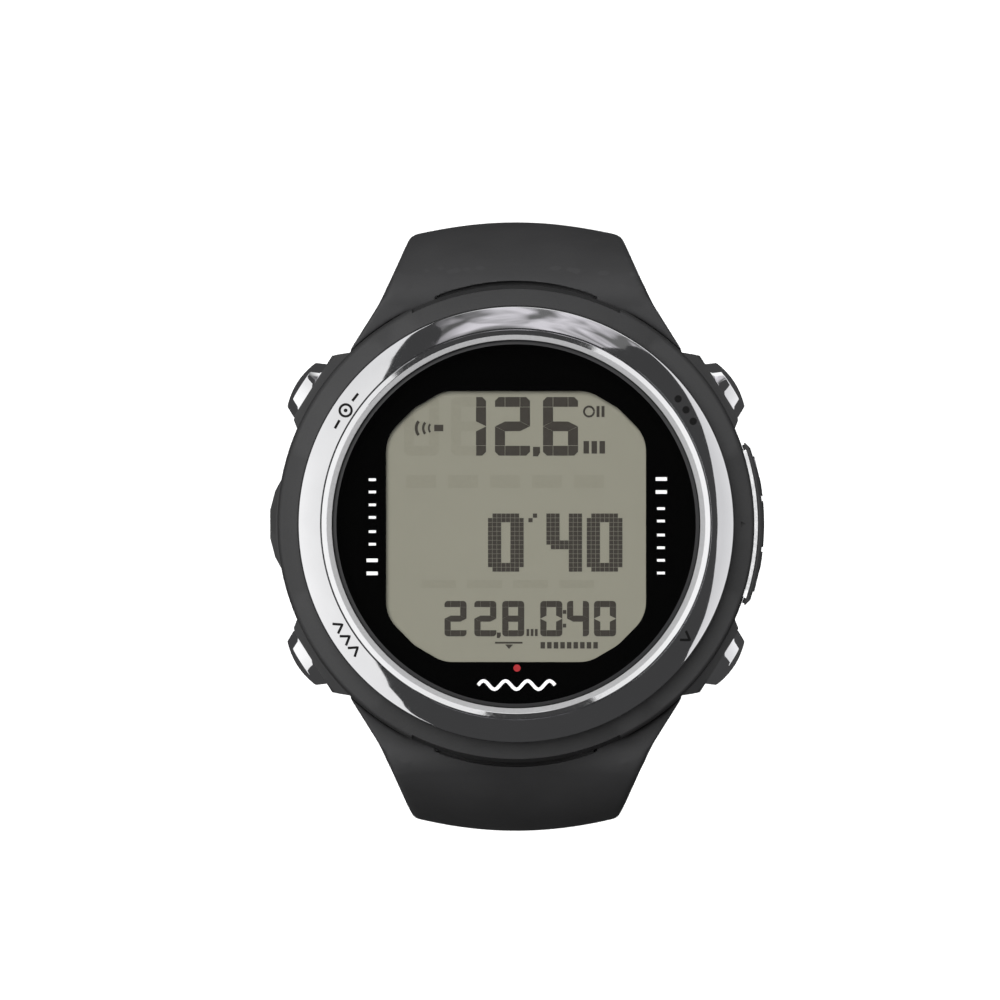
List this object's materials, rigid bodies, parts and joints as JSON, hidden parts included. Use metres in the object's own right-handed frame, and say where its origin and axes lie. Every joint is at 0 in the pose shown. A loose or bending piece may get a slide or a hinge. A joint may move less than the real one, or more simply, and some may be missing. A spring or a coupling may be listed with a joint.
{
  "type": "dive computer",
  "caption": "Wrist dive computer with a round case, polished bezel, segment display, push buttons, battery hatch and an elastomer strap with a tongue buckle.",
  "frame": {"origin": "centre of the flat case back", "axes": "+Z out through the display, +Y to 12 o'clock, +X to 3 o'clock"},
  "size_m": [0.0494, 0.0598, 0.07],
  "materials": {
    "case_polymer": "fine matt",
    "strap_elastomer": "satin elastomer",
    "polished_steel": "polished",
    "satin_steel": "satin",
    "crystal_glass": "clear",
    "display_mask": "black",
    "lcd": "reflective segment display",
    "clear_guide": "light guide",
    "seal_rubber": "black seal",
    "frame_plastic": "moulded",
    "circuit_board": "solder mask",
    "chip_resin": "moulded resin",
    "nickel": "nickel plated",
    "gold_brass": "gold flash"
  },
  "bodies": {
    "case": {"case_body": "case_polymer", "bezel_ring": "polished_steel", "crystal": "crystal_glass", "crystal_gasket": "seal_rubber", "flange_ring": "display_mask", "dial_mask": "display_mask", "lcd_panel": "lcd", "backlight_guide": "clear_guide", "zebra_connectors": "seal_rubber", "module_frame": "frame_plastic", "main_pcb": "circuit_board", "processor_chip": "chip_resin", "quartz_can": "nickel", "buzzer": "gold_brass", "side_switches": "nickel", "battery_tray": "frame_plastic", "battery_contact_minus": "gold_brass", "battery_contact_plus": "gold_brass", "coin_cell": "nickel", "pressure_sensor": "nickel", "sensor_trim": "polished_steel", "sensor_cover": "case_polymer", "sensor_cover_screws": "satin_steel", "data_contacts": "gold_brass", "rear_cover": "case_polymer", "rear_cover_gasket": "seal_rubber", "rear_cover_screws": "satin_steel", "button_spring_upper_right": "satin_steel", "button_spring_upper_left": "satin_steel", "button_spring_lower_left": "satin_steel", "button_spring_lower_right": "satin_steel", "button_o_rings": "seal_rubber", "lug_pins": "satin_steel"},
    "hatch": {"battery_hatch": "case_polymer", "hatch_o_ring": "seal_rubber"},
    "button_upper_right": {"button_upper_right": "polished_steel", "button_clip_upper_right": "satin_steel"},
    "button_upper_left": {"button_upper_left": "polished_steel", "button_clip_upper_left": "satin_steel"},
    "button_lower_left": {"button_lower_left": "polished_steel", "button_clip_lower_left": "satin_steel"},
    "button_lower_right": {"button_lower_right": "polished_steel", "button_clip_lower_right": "satin_steel"},
    "strap_buckle": {"strap_buckle_side": "strap_elastomer", "keeper_fixed": "strap_elastomer", "buckle_pin": "satin_steel"},
    "strap_tail": {"strap_tail_side": "strap_elastomer"},
    "keeper": {"keeper_free": "strap_elastomer"},
    "buckle": {"buckle_frame": "satin_steel"},
    "tongue": {"buckle_tongue": "satin_steel"}
  },
  "joints": [
    {"name": "press_upper_right", "type": "slide", "parent": "case", "child": "button_upper_right", "axis": [-0.8387, -0.5446, 0], "range_m": [0, 0.0008], "stiffness_N_per_m": 1000, "springref_m": -0.0006, "deforming": ["button_spring_upper_right"]},
    {"name": "press_upper_left", "type": "slide", "parent": "case", "child": "button_upper_left", "axis": [0.8387, -0.5446, 0], "range_m": [0, 0.0008], "stiffness_N_per_m": 1000, "springref_m": -0.0006, "deforming": ["button_spring_upper_left"]},
    {"name": "press_lower_left", "type": "slide", "parent": "case", "child": "button_lower_left", "axis": [0.8387, 0.5446, 0], "range_m": [0, 0.0008], "stiffness_N_per_m": 1000, "springref_m": -0.0006, "deforming": ["button_spring_lower_left"]},
    {"name": "press_lower_right", "type": "slide", "parent": "case", "child": "button_lower_right", "axis": [-0.8387, 0.5446, 0], "range_m": [0, 0.0008], "stiffness_N_per_m": 1000, "springref_m": -0.0006, "deforming": ["button_spring_lower_right"]},
    {"name": "hatch_turn", "type": "hinge", "parent": "case", "child": "hatch", "pos_m": [0, 0, 0], "axis": [0, 0, -1], "range_deg": [0, 40]},
    {"name": "strap_buckle_swing", "type": "hinge", "parent": "case", "child": "strap_buckle", "pos_m": [0, 0.0227, 0.0054], "axis": [1, 0, 0], "range_deg": [0, 35]},
    {"name": "strap_tail_swing", "type": "hinge", "parent": "case", "child": "strap_tail", "pos_m": [0, -0.0227, 0.0054], "axis": [-1, 0, 0], "range_deg": [0, 35]},
    {"name": "keeper_free_slide", "type": "hinge", "parent": "strap_buckle", "child": "keeper", "pos_m": [0, -0.00039, -0.00773], "axis": [-1, 0, 0], "range_deg": [-12, 5]},
    {"name": "buckle_frame_swing", "type": "hinge", "parent": "strap_buckle", "child": "buckle", "pos_m": [0, 0.00648, -0.03528], "axis": [1, 0, 0], "range_deg": [-25, 30]},
    {"name": "buckle_tongue_swing", "type": "hinge", "parent": "buckle", "child": "tongue", "pos_m": [0, 0.00648, -0.03528], "axis": [1, 0, 0], "range_deg": [0, 85]}
  ]
}
